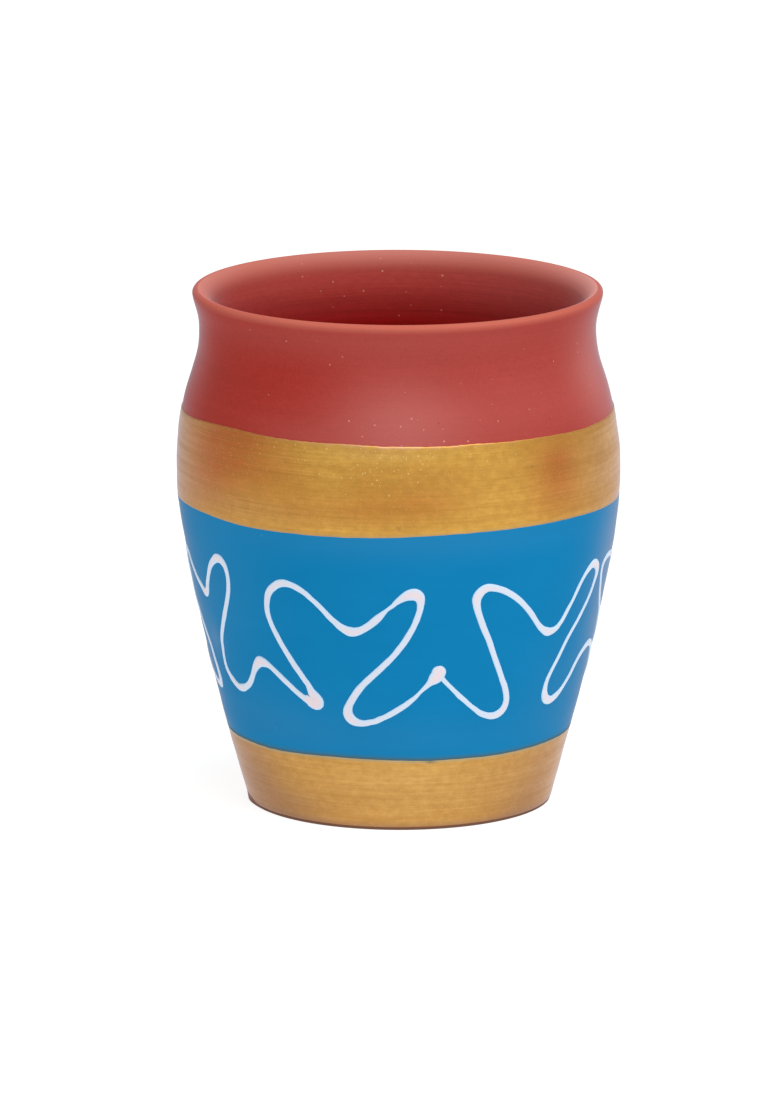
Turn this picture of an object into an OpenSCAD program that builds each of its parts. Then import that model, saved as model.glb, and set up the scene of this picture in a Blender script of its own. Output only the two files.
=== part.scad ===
// Clay kulhad: a wheel-thrown terracotta tea cup with a flared foot-to-belly
// wall, a drawn-in neck and a rounded lip. Three bands of paint go round it,
// and one unbroken white line is trailed over the blue band.
// Millimetres, +Z up. The origin is the middle of the base on the table, and
// the front of the pattern faces -Y.

/* [Cup] */
// Height from the table to the top of the lip
cup_h = 85; // [70:1:100]
// Widest diameter, over the paint at the belly
cup_d = 72.6; // [66:0.1:84]
// Height of the widest place
belly_h = 53.5; // [52:0.5:58]
// Diameter of the flat base
base_d = 49.6; // [42:0.1:56]
// Rounding where the wall meets the base
base_round = 0.5; // [0.3:0.1:2]
// Outer diameter of the drawn-in neck
neck_d = 64.8; // [60:0.1:68]
// How far below the top of the lip the neck is narrowest
neck_drop = 6.8; // [5:0.1:10]
// Outer diameter of the lip
lip_d = 67; // [65:0.1:70]
// Radius of the lip's outer edge
lip_edge = 0.8; // [0.5:0.1:1.2]
// How far down the hollow the rounding of the lip reaches
lip_fall = 2.7; // [1.5:0.1:3.5]

/* [Wall] */
// Thickness of the wall at the lip, which is rounded over
lip_wall = 2.8; // [2.2:0.1:3.5]
// Thickness of the wall just above the floor
foot_wall = 3.6; // [2.6:0.1:5]
// Thickness of the floor in the middle
floor_t = 6; // [4:0.5:9]
// Radius of the hollow's bend from floor to wall
heel_r = 9; // [5:0.5:12]
// Height of the ridges that the fingers leave inside
ridge_t = 0.22; // [0.1:0.02:0.5]
// Rise from one of these ridges to the next
ridge_pitch = 6.5; // [5:0.5:10]

/* [Painted bands] */
// Thickness of the gold paint
gold_t = 0.15; // [0.1:0.01:0.3]
// Thickness of the blue paint, which laps a little proud of the gold
blue_t = 0.2; // [0.1:0.01:0.4]
// How far the shoulder gold reaches above the widest place
gold_rise = 12.2; // [6:0.1:14]
// How far the shoulder gold reaches below the widest place, where the blue meets it
gold_drop = 2.3; // [1:0.1:8]
// Height where the blue meets the gold of the foot
blue_foot_h = 12.3; // [9:0.1:16]
// Bare clay left between the rounding of the base and the gold of the foot
foot_bare = 0.2; // [0.1:0.1:3]

/* [White line] */
// Width of the trailed line
trail_w = 1.15; // [0.8:0.05:1.4]
// How far the line stands out
trail_t = 0.42; // [0.25:0.01:0.6]
// Gap between the line's flat back and the blue paint
trail_gap = 0.03; // [0.02:0.01:0.06]

/* [Hidden] */

// Greatest step between two rows of the outline
row_step = 2.4;
// Greatest step between two places along the white line
trail_step = 1.5;
// Rows in the rounding of the base and of the lip
round_rows = 6;
// Flat sides round each full turn
$fn = 180;

base_r = base_d / 2;
belly_r = cup_d / 2 - gold_t;
neck_r = neck_d / 2;
lip_r = lip_d / 2;
lip_h = cup_h - lip_edge;
hollow_top = cup_h - lip_fall;
neck_h = cup_h - neck_drop;
gold_top_h = belly_h + gold_rise;
gold_blue_h = belly_h - gold_drop;
foot_gold_low = base_round + foot_bare;

// How long the handles of the wall's curves are, as shares of their own spans
flank_out_share = 0.68;
flank_up_share = 0.5;
flank_belly_share = 0.11;
shoulder_belly_share = 0.68;
shoulder_neck_share = 0.31;
flare_neck_share = 0.48;
flare_lip_share = 0.18;

// The outside of the clay as three curves, each by its four control points:
// base to belly, belly to neck, and neck to lip.
flank = [
    [base_r, base_round],
    [base_r + (belly_r - base_r) * flank_out_share, base_round + (belly_h - base_round) * flank_up_share],
    [belly_r, belly_h - (belly_h - base_round) * flank_belly_share],
    [belly_r, belly_h]
];
shoulder = [
    [belly_r, belly_h],
    [belly_r, belly_h + (neck_h - belly_h) * shoulder_belly_share],
    [neck_r, neck_h - (neck_h - belly_h) * shoulder_neck_share],
    [neck_r, neck_h]
];
flare = [
    [neck_r, neck_h],
    [neck_r, neck_h + (lip_h - neck_h) * flare_neck_share],
    [lip_r, lip_h - (lip_h - neck_h) * flare_lip_share],
    [lip_r, lip_h]
];

function curve_at(c, t) =
    c[0] * pow(1 - t, 3) + c[1] * 3 * pow(1 - t, 2) * t + c[2] * 3 * (1 - t) * pow(t, 2) + c[3] * pow(t, 3);

// Where along a rising curve the height z lies, found by halving the curve again and again
halvings = 24;
function curve_find(c, z, low = 0, high = 1, left = halvings) =
    let (half = (low + high) / 2)
    left == 0 ? half
    : curve_at(c, half)[1] < z ? curve_find(c, z, half, high, left - 1)
    : curve_find(c, z, low, half, left - 1);

function curve_r(c, z) = curve_at(c, curve_find(c, z))[0];

// Radius of the clay's outside at height z
function clay_r(z) =
    z <= base_round ? base_r
    : z < belly_h ? curve_r(flank, z)
    : z < neck_h ? curve_r(shoulder, z)
    : z < lip_h ? curve_r(flare, z)
    : lip_r;

// The values of a list in rising order
function sorted(list) =
    len(list) < 2 ? list
    : let (first = list[0], rest = [for (i = [1:len(list) - 1]) list[i]])
    concat(sorted([for (v = rest) if (v < first) v]), [first], sorted([for (v = rest) if (v >= first) v]));

// Heights where every outline has a row: the edges of the paint, the belly and the neck
kept_rows = sorted([foot_gold_low, blue_foot_h, gold_blue_h, belly_h, gold_top_h, neck_h]);

// Rows from low up to high, both included: the kept ones between them, and equal
// steps from each to the next
function rows(low, high) =
    let (stops = concat([low], [for (h = kept_rows) if (h > low && h < high) h], [high]))
    concat(
        [
            for (i = [0:len(stops) - 2])
                let (count = ceil((stops[i + 1] - stops[i]) / row_step))
                for (k = [0:count - 1]) stops[i] + (stops[i + 1] - stops[i]) * k / count
        ],
        [high]
    );

clay_rows = rows(base_round, lip_h);
foot_rows = rows(foot_gold_low, blue_foot_h);
blue_rows = rows(blue_foot_h, gold_blue_h);
gold_rows = rows(gold_blue_h, gold_top_h);

// Thickness of the wall at height z: it thickens steadily towards the floor
function wall_t(z) = lip_wall + (foot_wall - lip_wall) * (lip_h - z) / (lip_h - floor_t);

// The ridges fade out over one pitch below the neck and over one above the floor's bend
function ridge_fade(z) =
    max(0, min(1, (neck_h - z) / ridge_pitch, (z - heel_top) / ridge_pitch));
function ridge(z) = ridge_t * ridge_fade(z) * (1 - cos(360 * (z - floor_t) / ridge_pitch)) / 2;

// The hollow's radius at height z, above its rounded heel
function hollow_r(z) = clay_r(z) - wall_t(z) - ridge(z);

// Four rows to a ridge, from the heel up to the rounding of the lip
ridge_rows = 4;
heel_top = floor_t + heel_r;
hollow_count = ceil((hollow_top - heel_top) * ridge_rows / ridge_pitch);
hollow_rows = [for (i = [0:hollow_count]) heel_top + (hollow_top - heel_top) * i / hollow_count];

// The heel: a quarter round whose upper end leans with the wall
heel = [
    for (i = [0:round_rows])
        let (a = 90 * i / round_rows, z = floor_t + heel_r * (1 - cos(a)))
        [hollow_r(z) - heel_r * (1 - sin(a)), z]
];
base_edge = [
    for (i = [0:round_rows - 1])
        let (a = 90 * i / round_rows)
        [base_r - base_round * (1 - sin(a)), base_round * (1 - cos(a))]
];

// The lip: a tight quarter round outside, and a wider one that falls away into the hollow
lip_crest_r = lip_r - lip_edge;
lip = concat(
    [
        for (i = [1:round_rows])
            let (a = 90 * i / round_rows)
            [lip_crest_r + lip_edge * cos(a), lip_h + lip_edge * sin(a)]
    ],
    [
        for (i = [round_rows - 1:-1:1])
            let (a = 90 * i / round_rows, r = hollow_r(hollow_top))
            [r + (lip_crest_r - r) * (1 - cos(a)), hollow_top + lip_fall * sin(a)]
    ]
);

// Thrown terracotta vessel with a wire-cut base, a rounded lip and finger ridges inside
module clay_body() {
    color("#b4524c")
        rotate_extrude()
            polygon(concat(
                [[0, 0]],
                base_edge,
                [for (z = clay_rows) [clay_r(z), z]],
                lip,
                [for (i = [hollow_count:-1:1]) [hollow_r(hollow_rows[i]), hollow_rows[i]]],
                [for (i = [round_rows:-1:0]) heel[i]],
                [[0, floor_t]]
            ));
}

// A coat of paint of thickness t on the clay, on the same rows as the clay's outline
module coat(heights, t) {
    last = len(heights) - 1;
    rotate_extrude()
        polygon(concat(
            [for (z = heights) [clay_r(z), z]],
            [for (i = [last:-1:0]) [clay_r(heights[i]) + t, heights[i]]]
        ));
}

module shoulder_gold_band() {
    color("#c3913f") coat(gold_rows, gold_t);
}

module blue_band() {
    color("#1e82b4") coat(blue_rows, blue_t);
}

module foot_gold_band() {
    color("#d2a259") coat(foot_rows, gold_t);
}

// The white line's route, one row of six drawn motifs after another. Each point
// is [degrees from the front, height share of the blue band, width share].
route_shares = [
    // Left of the front
    [-100.5, 0.398, 1.2], [-95, 0.364, 0.9], [-86, 0.29, 1], [-77, 0.221, 1], [-70.5, 0.206, 1.2],
    [-71, 0.275, 1], [-76.5, 0.453, 1], [-84, 0.59, 1], [-86.2, 0.689, 1], [-83.5, 0.763, 1],
    [-78.5, 0.782, 1], [-72.5, 0.726, 1], [-66.8, 0.649, 1], [-61.7, 0.732, 1], [-58.7, 0.792, 1],
    [-55.5, 0.817, 1.1], [-52.2, 0.782, 1], [-52, 0.709, 1], [-56.9, 0.567, 1], [-61.2, 0.443, 1],
    [-61.6, 0.334, 1], [-58.5, 0.264, 1.1], [-54, 0.251, 1.1], [-50.2, 0.28, 1], [-46.8, 0.354, 1],
    // Front, left of the middle
    [-43.6, 0.393, 1.2], [-38.5, 0.354, 0.9], [-31, 0.27, 1], [-26.8, 0.234, 1], [-24.2, 0.234, 1.1],
    [-25.4, 0.295, 1], [-33.7, 0.482, 1], [-37.8, 0.664, 1], [-35.6, 0.741, 1], [-30.8, 0.767, 1],
    [-25.9, 0.735, 1], [-18, 0.63, 1], [-12.8, 0.579, 1.3], [-9, 0.602, 1], [-4, 0.669, 0.65],
    [1.2, 0.733, 1], [4.2, 0.74, 1.4], [5.9, 0.699, 1.1], [2.2, 0.545, 1], [-7.1, 0.381, 1],
    [-14.6, 0.241, 1.2], [-14.2, 0.182, 1.2], [-10.2, 0.167, 1], [-3.8, 0.204, 1], [6.8, 0.321, 1],
    // Front, right of the middle
    [11.4, 0.398, 1.8], [14, 0.349, 0.7], [19.3, 0.275, 0.9], [25, 0.209, 1], [30.3, 0.181, 1.1],
    [34, 0.216, 1.1], [33.5, 0.295, 1], [28.4, 0.438, 1], [22.6, 0.636, 1], [21.3, 0.713, 1],
    [24.3, 0.761, 1], [31.2, 0.721, 1], [38.6, 0.62, 1], [44, 0.541, 1.1], [47.5, 0.52, 1.3],
    [51.1, 0.551, 1], [56.8, 0.677, 1], [61.7, 0.752, 1.1], [64.8, 0.766, 1.3], [66.8, 0.709, 1.1],
    [62.5, 0.581, 1], [55.2, 0.454, 1], [50.2, 0.315, 1], [49.9, 0.231, 1.1], [53, 0.201, 1.2],
    [58.4, 0.231, 1], [63.4, 0.324, 1], [69.2, 0.389, 1],
    // Right side
    [73.9, 0.395, 1.2], [79, 0.354, 0.9], [85, 0.275, 1], [90.5, 0.211, 1], [94, 0.204, 1.1],
    [93.6, 0.265, 1], [86.5, 0.403, 1], [77.6, 0.502, 1], [73.6, 0.614, 1], [71.4, 0.699, 1],
    [73.5, 0.763, 1.1], [79, 0.776, 1.1], [86, 0.733, 1], [94, 0.64, 1], [99.5, 0.585, 1.3],
    [104.5, 0.62, 0.8], [111, 0.709, 0.9], [116, 0.75, 1.3], [118.6, 0.709, 1.1], [116.5, 0.62, 1],
    [110, 0.482, 1], [103.5, 0.364, 1], [99.5, 0.256, 1.1], [100.7, 0.195, 1.1], [105.5, 0.175, 1],
    [113, 0.221, 1], [121, 0.305, 1], [126.5, 0.369, 1],
    // Back, right of the middle
    [130.5, 0.389, 1.2], [135.5, 0.349, 0.9], [143, 0.265, 1], [148.3, 0.218, 1], [151.8, 0.226, 1.1],
    [150.8, 0.29, 1], [144.5, 0.443, 1], [138.5, 0.62, 1], [137.5, 0.699, 1], [140.5, 0.755, 1],
    [147, 0.743, 1], [155, 0.649, 1], [161.5, 0.571, 1.2], [166.5, 0.595, 0.9], [172.5, 0.679, 0.8],
    [178, 0.75, 1.1], [181.1, 0.753, 1.3], [182.6, 0.699, 1.1], [178.5, 0.561, 1], [170, 0.403, 1],
    [163.8, 0.265, 1.1], [163.8, 0.201, 1.1], [167.5, 0.173, 1], [174.5, 0.206, 1], [183, 0.305, 1],
    [188.5, 0.374, 1],
    // Back, left of the middle
    [192.5, 0.398, 1.2], [197, 0.359, 0.9], [204, 0.28, 1], [210.5, 0.216, 1], [214.8, 0.201, 1.1],
    [216, 0.256, 1], [211.5, 0.403, 1], [204.5, 0.581, 1], [202.3, 0.679, 1], [204.5, 0.746, 1],
    [210.5, 0.753, 1], [219, 0.669, 1], [226, 0.581, 1.1], [231, 0.569, 1.1], [236, 0.62, 0.8],
    [242.5, 0.709, 0.9], [247.3, 0.755, 1.3], [249.9, 0.709, 1.1], [247, 0.6, 1], [239.5, 0.453, 1],
    [231.7, 0.305, 1], [229.6, 0.228, 1.2], [232.3, 0.182, 1.1], [238, 0.185, 1], [246, 0.261, 1],
    [253.5, 0.349, 1]
];
route_n = len(route_shares);

// Point i of the route, which closes on itself after a full turn:
// [arc length round the belly, height, width, degrees]
function route_point(i) =
    let (
        lap = floor(i / route_n),
        p = route_shares[i - lap * route_n],
        a = p[0] + 360 * lap
    )
    [belly_r * a * PI / 180, blue_foot_h + (gold_blue_h - blue_foot_h) * p[1], trail_w * p[2], a];

// A smooth curve through b and c that heads from a and towards d, at share t between
// b and c. Its knots are spaced by the square roots of the distances.
function knot_gap(a, b) = sqrt(norm([b[0] - a[0], b[1] - a[1]]));
function blend_between(a, b, s0, s1, s) = a * (s1 - s) / (s1 - s0) + b * (s - s0) / (s1 - s0);
function smooth_at(a, b, c, d, t) =
    let (
        s1 = knot_gap(a, b),
        s2 = s1 + knot_gap(b, c),
        s3 = s2 + knot_gap(c, d),
        s = s1 + (s2 - s1) * t,
        ab = blend_between(a, b, 0, s1, s),
        bc = blend_between(b, c, s1, s2, s),
        cd = blend_between(c, d, s2, s3, s),
        abc = blend_between(ab, bc, 0, s2, s),
        bcd = blend_between(bc, cd, s1, s3, s)
    )
    blend_between(abc, bcd, s1, s2, s);

// The line's places all the way round, about one step apart
trail_path = [
    for (i = [0:route_n - 1])
        let (
            a = route_point(i - 1),
            b = route_point(i),
            c = route_point(i + 1),
            d = route_point(i + 2),
            count = max(1, round(norm([c[0] - b[0], c[1] - b[1]]) / trail_step))
        )
        for (k = [0:count - 1]) smooth_at(a, b, c, d, k / count)
];
trail_n = len(trail_path);
function wrapped(i) = (i + trail_n) % trail_n;

// A place on the blue paint, a gap clear of it
trail_places = [
    for (p = trail_path)
        let (r = clay_r(p[1]) + blue_t + trail_gap)
        [r * sin(p[3]), -r * cos(p[3]), p[1]]
];
function unit(v) = v / norm(v);
function along(i) = unit(trail_places[wrapped(i + 1)] - trail_places[wrapped(i - 1)]);

// The paint's outward direction at place i, from the wall's slope over one row
function outward(i) =
    let (
        p = trail_path[i],
        slope = (clay_r(p[1] + row_step / 2) - clay_r(p[1] - row_step / 2)) / row_step
    )
    unit([sin(p[3]), -cos(p[3]), -slope]);

// How sharply the line bends at place i, and to which side: one over the bend's radius
function bend(i) =
    let (
        before = trail_places[i] - trail_places[wrapped(i - 1)],
        after = trail_places[wrapped(i + 1)] - trail_places[i],
        turn = unit(after) - unit(before),
        side = cross(outward(i), along(i))
    )
    2 * (turn * side) / (norm(before) + norm(after));

// The bead's section: a low round back that sinks a little along its middle, as
// shares of half its width and of how far it stands out
bead_shares = [[-1, 0], [-0.86, 0.62], [-0.48, 1], [0, 0.86], [0.48, 1], [0.86, 0.62], [1, 0]];
bead_n = len(bead_shares);
// The most of a bend's radius that the bead may fill on the inside of the bend
bend_fill_share = 0.85;

function bead_ring(i) =
    let (
        normal = outward(i),
        side = cross(normal, along(i)),
        half = trail_path[i][2] / 2,
        turn = bend(i)
    )
    [
        for (q = bead_shares)
            let (
                inside = q[0] * turn > 0,
                reach = inside ? min(half, bend_fill_share / abs(turn)) : half
            )
            trail_places[i] + side * q[0] * reach + normal * q[1] * trail_t
    ];

// One unbroken line of white, trailed round the belly from a nozzle
module white_trail() {
    points = [for (i = [0:trail_n - 1]) each bead_ring(i)];
    faces = [
        for (i = [0:trail_n - 1])
            for (k = [0:bead_n - 1])
                let (
                    here = i * bead_n,
                    next = wrapped(i + 1) * bead_n,
                    j = (k + 1) % bead_n
                )
                each [[here + k, here + j, next + j], [here + k, next + j, next + k]]
    ];
    color("#eef0ee") polyhedron(points, faces);
}

clay_body();
shoulder_gold_band();
blue_band();
foot_gold_band();
white_trail();
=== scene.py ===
"""A clay kulhad, a small wheel-thrown tea cup, with painted bands and a trailed white line."""
import bpy
import numpy as np
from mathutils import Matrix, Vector


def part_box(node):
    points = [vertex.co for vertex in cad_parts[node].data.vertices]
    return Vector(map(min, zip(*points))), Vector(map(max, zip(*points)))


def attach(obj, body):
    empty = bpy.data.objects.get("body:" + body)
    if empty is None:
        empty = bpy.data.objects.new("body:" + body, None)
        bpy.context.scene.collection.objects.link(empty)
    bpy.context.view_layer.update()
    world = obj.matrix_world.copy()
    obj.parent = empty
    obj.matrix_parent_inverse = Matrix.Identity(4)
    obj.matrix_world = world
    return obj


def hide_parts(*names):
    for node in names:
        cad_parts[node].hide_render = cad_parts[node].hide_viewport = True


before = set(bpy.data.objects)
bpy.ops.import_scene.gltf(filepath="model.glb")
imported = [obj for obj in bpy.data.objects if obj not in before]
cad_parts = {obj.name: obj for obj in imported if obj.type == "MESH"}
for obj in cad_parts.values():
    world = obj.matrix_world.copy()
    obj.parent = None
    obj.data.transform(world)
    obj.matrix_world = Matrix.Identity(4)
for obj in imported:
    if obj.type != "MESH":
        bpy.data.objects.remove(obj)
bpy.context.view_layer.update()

# The thrown cup
# One piece of red clay, thrown on a wheel with the fingers' ridges left inside and a sponge's
# lines outside, rounded at the lip, cut off the wheel with a string and fired without a glaze.
mm = 0.001
cup_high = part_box("clay_body")[1]
cup_h = cup_high[2] / mm
belly_r = cup_high[0] / mm
belly_h = 53.5
base_r = 24.7
base_round = 0.12
neck_r = 32.4
neck_fall = 6.8
neck_h = cup_h - neck_fall
lip_r = 33.5
lip_edge = 0.8
lip_h = cup_h - lip_edge
lip_fall = 2.7
lip_wall = 2.8
foot_wall = 3.6
floor_t = 6.0
heel_r = 9.0
heel_top = floor_t + heel_r
# The finger ridges inside, and the sponge's marks outside, which fade out towards both ends
ridge_pitch = 6.5
ridge_t = 0.22
mark_pitch = 5.3
mark_t = 0.03
mark_fade = 3
# A faint swell round the shoulder, and how far the cup is out of round
swell_h = 58
swell_reach = 3
swell_t = 0.08
oval_t = 0.03
# Where the thrown wall strays to the right of the axis: height, and how far
lean = np.array([
    (0, 0.17), (3, 0.15), (10, 0.08), (20, 0.15), (44, 0.15), (51, 0.0), (58, 0.0), (63, -0.13)]).T
# The base sits this far to the front of the axis, and the wall is back on it at this height
foot_ahead = 0.5
foot_ahead_h = 9


def bezier(points, count=200):
    """Points of a cubic curve: each control point is weighed by its term of the cube of the sum
    of 1 - t and t."""
    t = np.linspace(0, 1, count)[:, None]
    p = np.array(points, float)
    weights = (1 - t) ** 3, 3 * (1 - t) ** 2 * t, 3 * (1 - t) * t ** 2, t ** 3
    return weights[0] * p[0] + weights[1] * p[1] + weights[2] * p[2] + weights[3] * p[3]


def three_curve_wall():
    """The outline of the outside: base to belly, belly to neck, neck to lip, as one run of points."""
    out, up = belly_r - base_r, belly_h - base_round
    rise, flare = neck_h - belly_h, lip_h - neck_h
    flank = bezier([
        (base_r, base_round), (base_r + 0.68 * out, base_round + 0.5 * up),
        (belly_r, belly_h - 0.11 * up), (belly_r, belly_h)])
    shoulder = bezier([
        (belly_r, belly_h), (belly_r, belly_h + 0.68 * rise),
        (neck_r, neck_h - 0.31 * rise), (neck_r, neck_h)])
    lip = bezier([
        (neck_r, neck_h), (neck_r, neck_h + 0.48 * flare),
        (lip_r, lip_h - 0.18 * flare), (lip_r, lip_h)])
    return np.concatenate([flank, shoulder[1:], lip[1:]])


wall = three_curve_wall()


def wall_r(z):
    """Radius of the outside at height z, read off the outline."""
    return np.interp(z, wall[:, 1], wall[:, 0])


def ring_noise(turns, height, amount, seed, most_crests, steepest=0):
    """A smooth value over turn and height: a sum of waves that close after a full turn, each
    with a whole number of crests round the cup and its own rise, evened to the amount given."""
    draw = np.random.default_rng(seed)
    waves = 24
    total = 0
    for _ in range(waves):
        crests = draw.integers(0, most_crests + 1)
        rise = draw.uniform(-1, 1) * steepest
        total = total + np.sin(crests * turns + rise * height + draw.uniform(0, 2 * np.pi))
    return amount * total / np.sqrt(waves / 2)


def ovality(turns):
    """How far the cup is out of round: a hair narrower from front to back than across."""
    return oval_t * (1 + np.cos(2 * turns))


def clay_r(turns, height):
    """Radius of the bare clay's outside at a turn and a height: the plain outline and its swell
    less its turning marks, which are slow hollows that climb with the wheel."""
    fade = np.clip((height - base_round) / mark_fade, 0, 1)
    fade = fade * np.clip((lip_h - height) / mark_fade, 0.2, 1)
    wander = ring_noise(turns, height, amount=0.7, seed=3, most_crests=3, steepest=0.2)
    climb = 2 * np.pi * height / mark_pitch - turns + wander
    swell = swell_t * np.exp(-((height - swell_h) / swell_reach) ** 2)
    return wall_r(height) + swell - ovality(turns) - mark_t * fade * (0.5 - 0.5 * np.cos(climb))


def hollow_r(turns, height):
    """Radius of the hollow: the wall thickens towards the floor, and the finger ridges climb it."""
    thick = lip_wall + (foot_wall - lip_wall) * (lip_h - height) / (lip_h - floor_t)
    fade = np.clip(np.minimum(neck_h - height, height - heel_top) / ridge_pitch, 0, 1)
    wander = ring_noise(turns, height, amount=0.5, seed=11, most_crests=3, steepest=0.15)
    climb = 2 * np.pi * height / ridge_pitch - turns + wander
    return wall_r(height) - thick - ovality(turns) - ridge_t * fade * (0.5 - 0.5 * np.cos(climb))


def turned_point(turns, radius, height):
    """A point of the cup in metres. Turn 0 faces the front, and turns grow towards the right. The
    foot and the belly sit a hair to the right of the axis and the neck a hair to the left, and
    the foot a hair to the front."""
    aside = np.interp(height, *lean)
    ahead = np.interp(height, [0, foot_ahead_h], [foot_ahead, 0])
    return np.stack([radius * np.sin(turns) + aside, -radius * np.cos(turns) - ahead, height], -1) * mm


def sheet_mesh(name, grid, close_rows=False, start_pole=False, end_pole=False, attributes=None):
    """A mesh from a grid of points, rows by columns, closed round the columns. Rows may close
    into a loop too, or run into one point at either end. Attributes have a value per point."""
    rows, cols = grid.shape[:2]
    verts = grid.reshape(-1, 3)
    values = {key: (np.zeros((rows, cols)) + field) for key, field in (attributes or {}).items()}
    flat = {key: field.ravel() for key, field in values.items()}
    i = np.arange(rows if close_rows else rows - 1)[:, None] * cols
    up = (i + cols) % (rows * cols)
    j = np.arange(cols)[None, :]
    k = (j + 1) % cols
    quads = np.stack([i + j, i + k, up + k, up + j], -1).reshape(-1, 4)
    loops = [quads.ravel()]
    sizes = [np.full(len(quads), 4)]
    for wanted, row, first, second in ((start_pole, 0, k, j), (end_pole, rows - 1, j, k)):
        if wanted:
            verts = np.concatenate([verts, grid[row].mean(0)[None]])
            tip = np.full(cols, len(verts) - 1)
            fan = np.stack([row * cols + first[0], row * cols + second[0], tip], -1)
            loops.append(fan.ravel())
            sizes.append(np.full(cols, 3))
            flat = {key: np.append(flat[key], values[key][row].mean()) for key in flat}
    loops, sizes = np.concatenate(loops), np.concatenate(sizes)
    mesh = bpy.data.meshes.new(name)
    mesh.vertices.add(len(verts))
    mesh.vertices.foreach_set("co", verts.astype(np.float32).ravel())
    mesh.loops.add(len(loops))
    mesh.loops.foreach_set("vertex_index", loops.astype(np.int32))
    mesh.polygons.add(len(sizes))
    mesh.polygons.foreach_set("loop_start", (np.cumsum(sizes) - sizes).astype(np.int32))
    for key, field in flat.items():
        mesh.attributes.new(key, "FLOAT", "POINT").data.foreach_set("value", field.astype(np.float32))
    mesh.update(calc_edges=True)
    mesh.validate()
    mesh.shade_smooth()
    piece = bpy.data.objects.new(name, mesh)
    bpy.context.collection.objects.link(piece)
    return piece


def even_rows(low, high, step):
    """Heights from low to high, both included, no more than a step apart."""
    return np.linspace(low, high, int(np.ceil(abs(high - low) / step)) + 1)


def soft_patches(turns, heights, table):
    """A field of soft bells over the wall, each given by the degrees from the front and the
    height of its middle, its half width in degrees, its half height and its strength."""
    field = 0 * turns * heights
    for at, up, wide, tall, strength in table:
        off = (np.degrees(turns) - at + 180) % 360 - 180
        field = field + strength * np.exp(-(off / wide) ** 2 - ((heights - up) / tall) ** 2)
    return field


def ramp(value, start, full):
    """A share that grows evenly from none at the start to one where it is full."""
    return np.clip((value - start) / (full - start), 0, 1)


cup_cols = 320
turns = np.linspace(0, 2 * np.pi, cup_cols, endpoint=False)[None, :]
# The string cut its arcs into the base round a place left of the cup, and left a thin burr
cut_x, cut_y = -31, -12
cut_pitch = 2.1
cut_t = 0.09
burr_t = 0.08
# The lip's crest lies a little under the cup's full height, and wavers
crest_fall = 0.05
# The floor rises towards its middle, with a curl of the fingers round it
floor_rise = 0.5
curl_turns = 3.2
curl_t = 0.1


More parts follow.
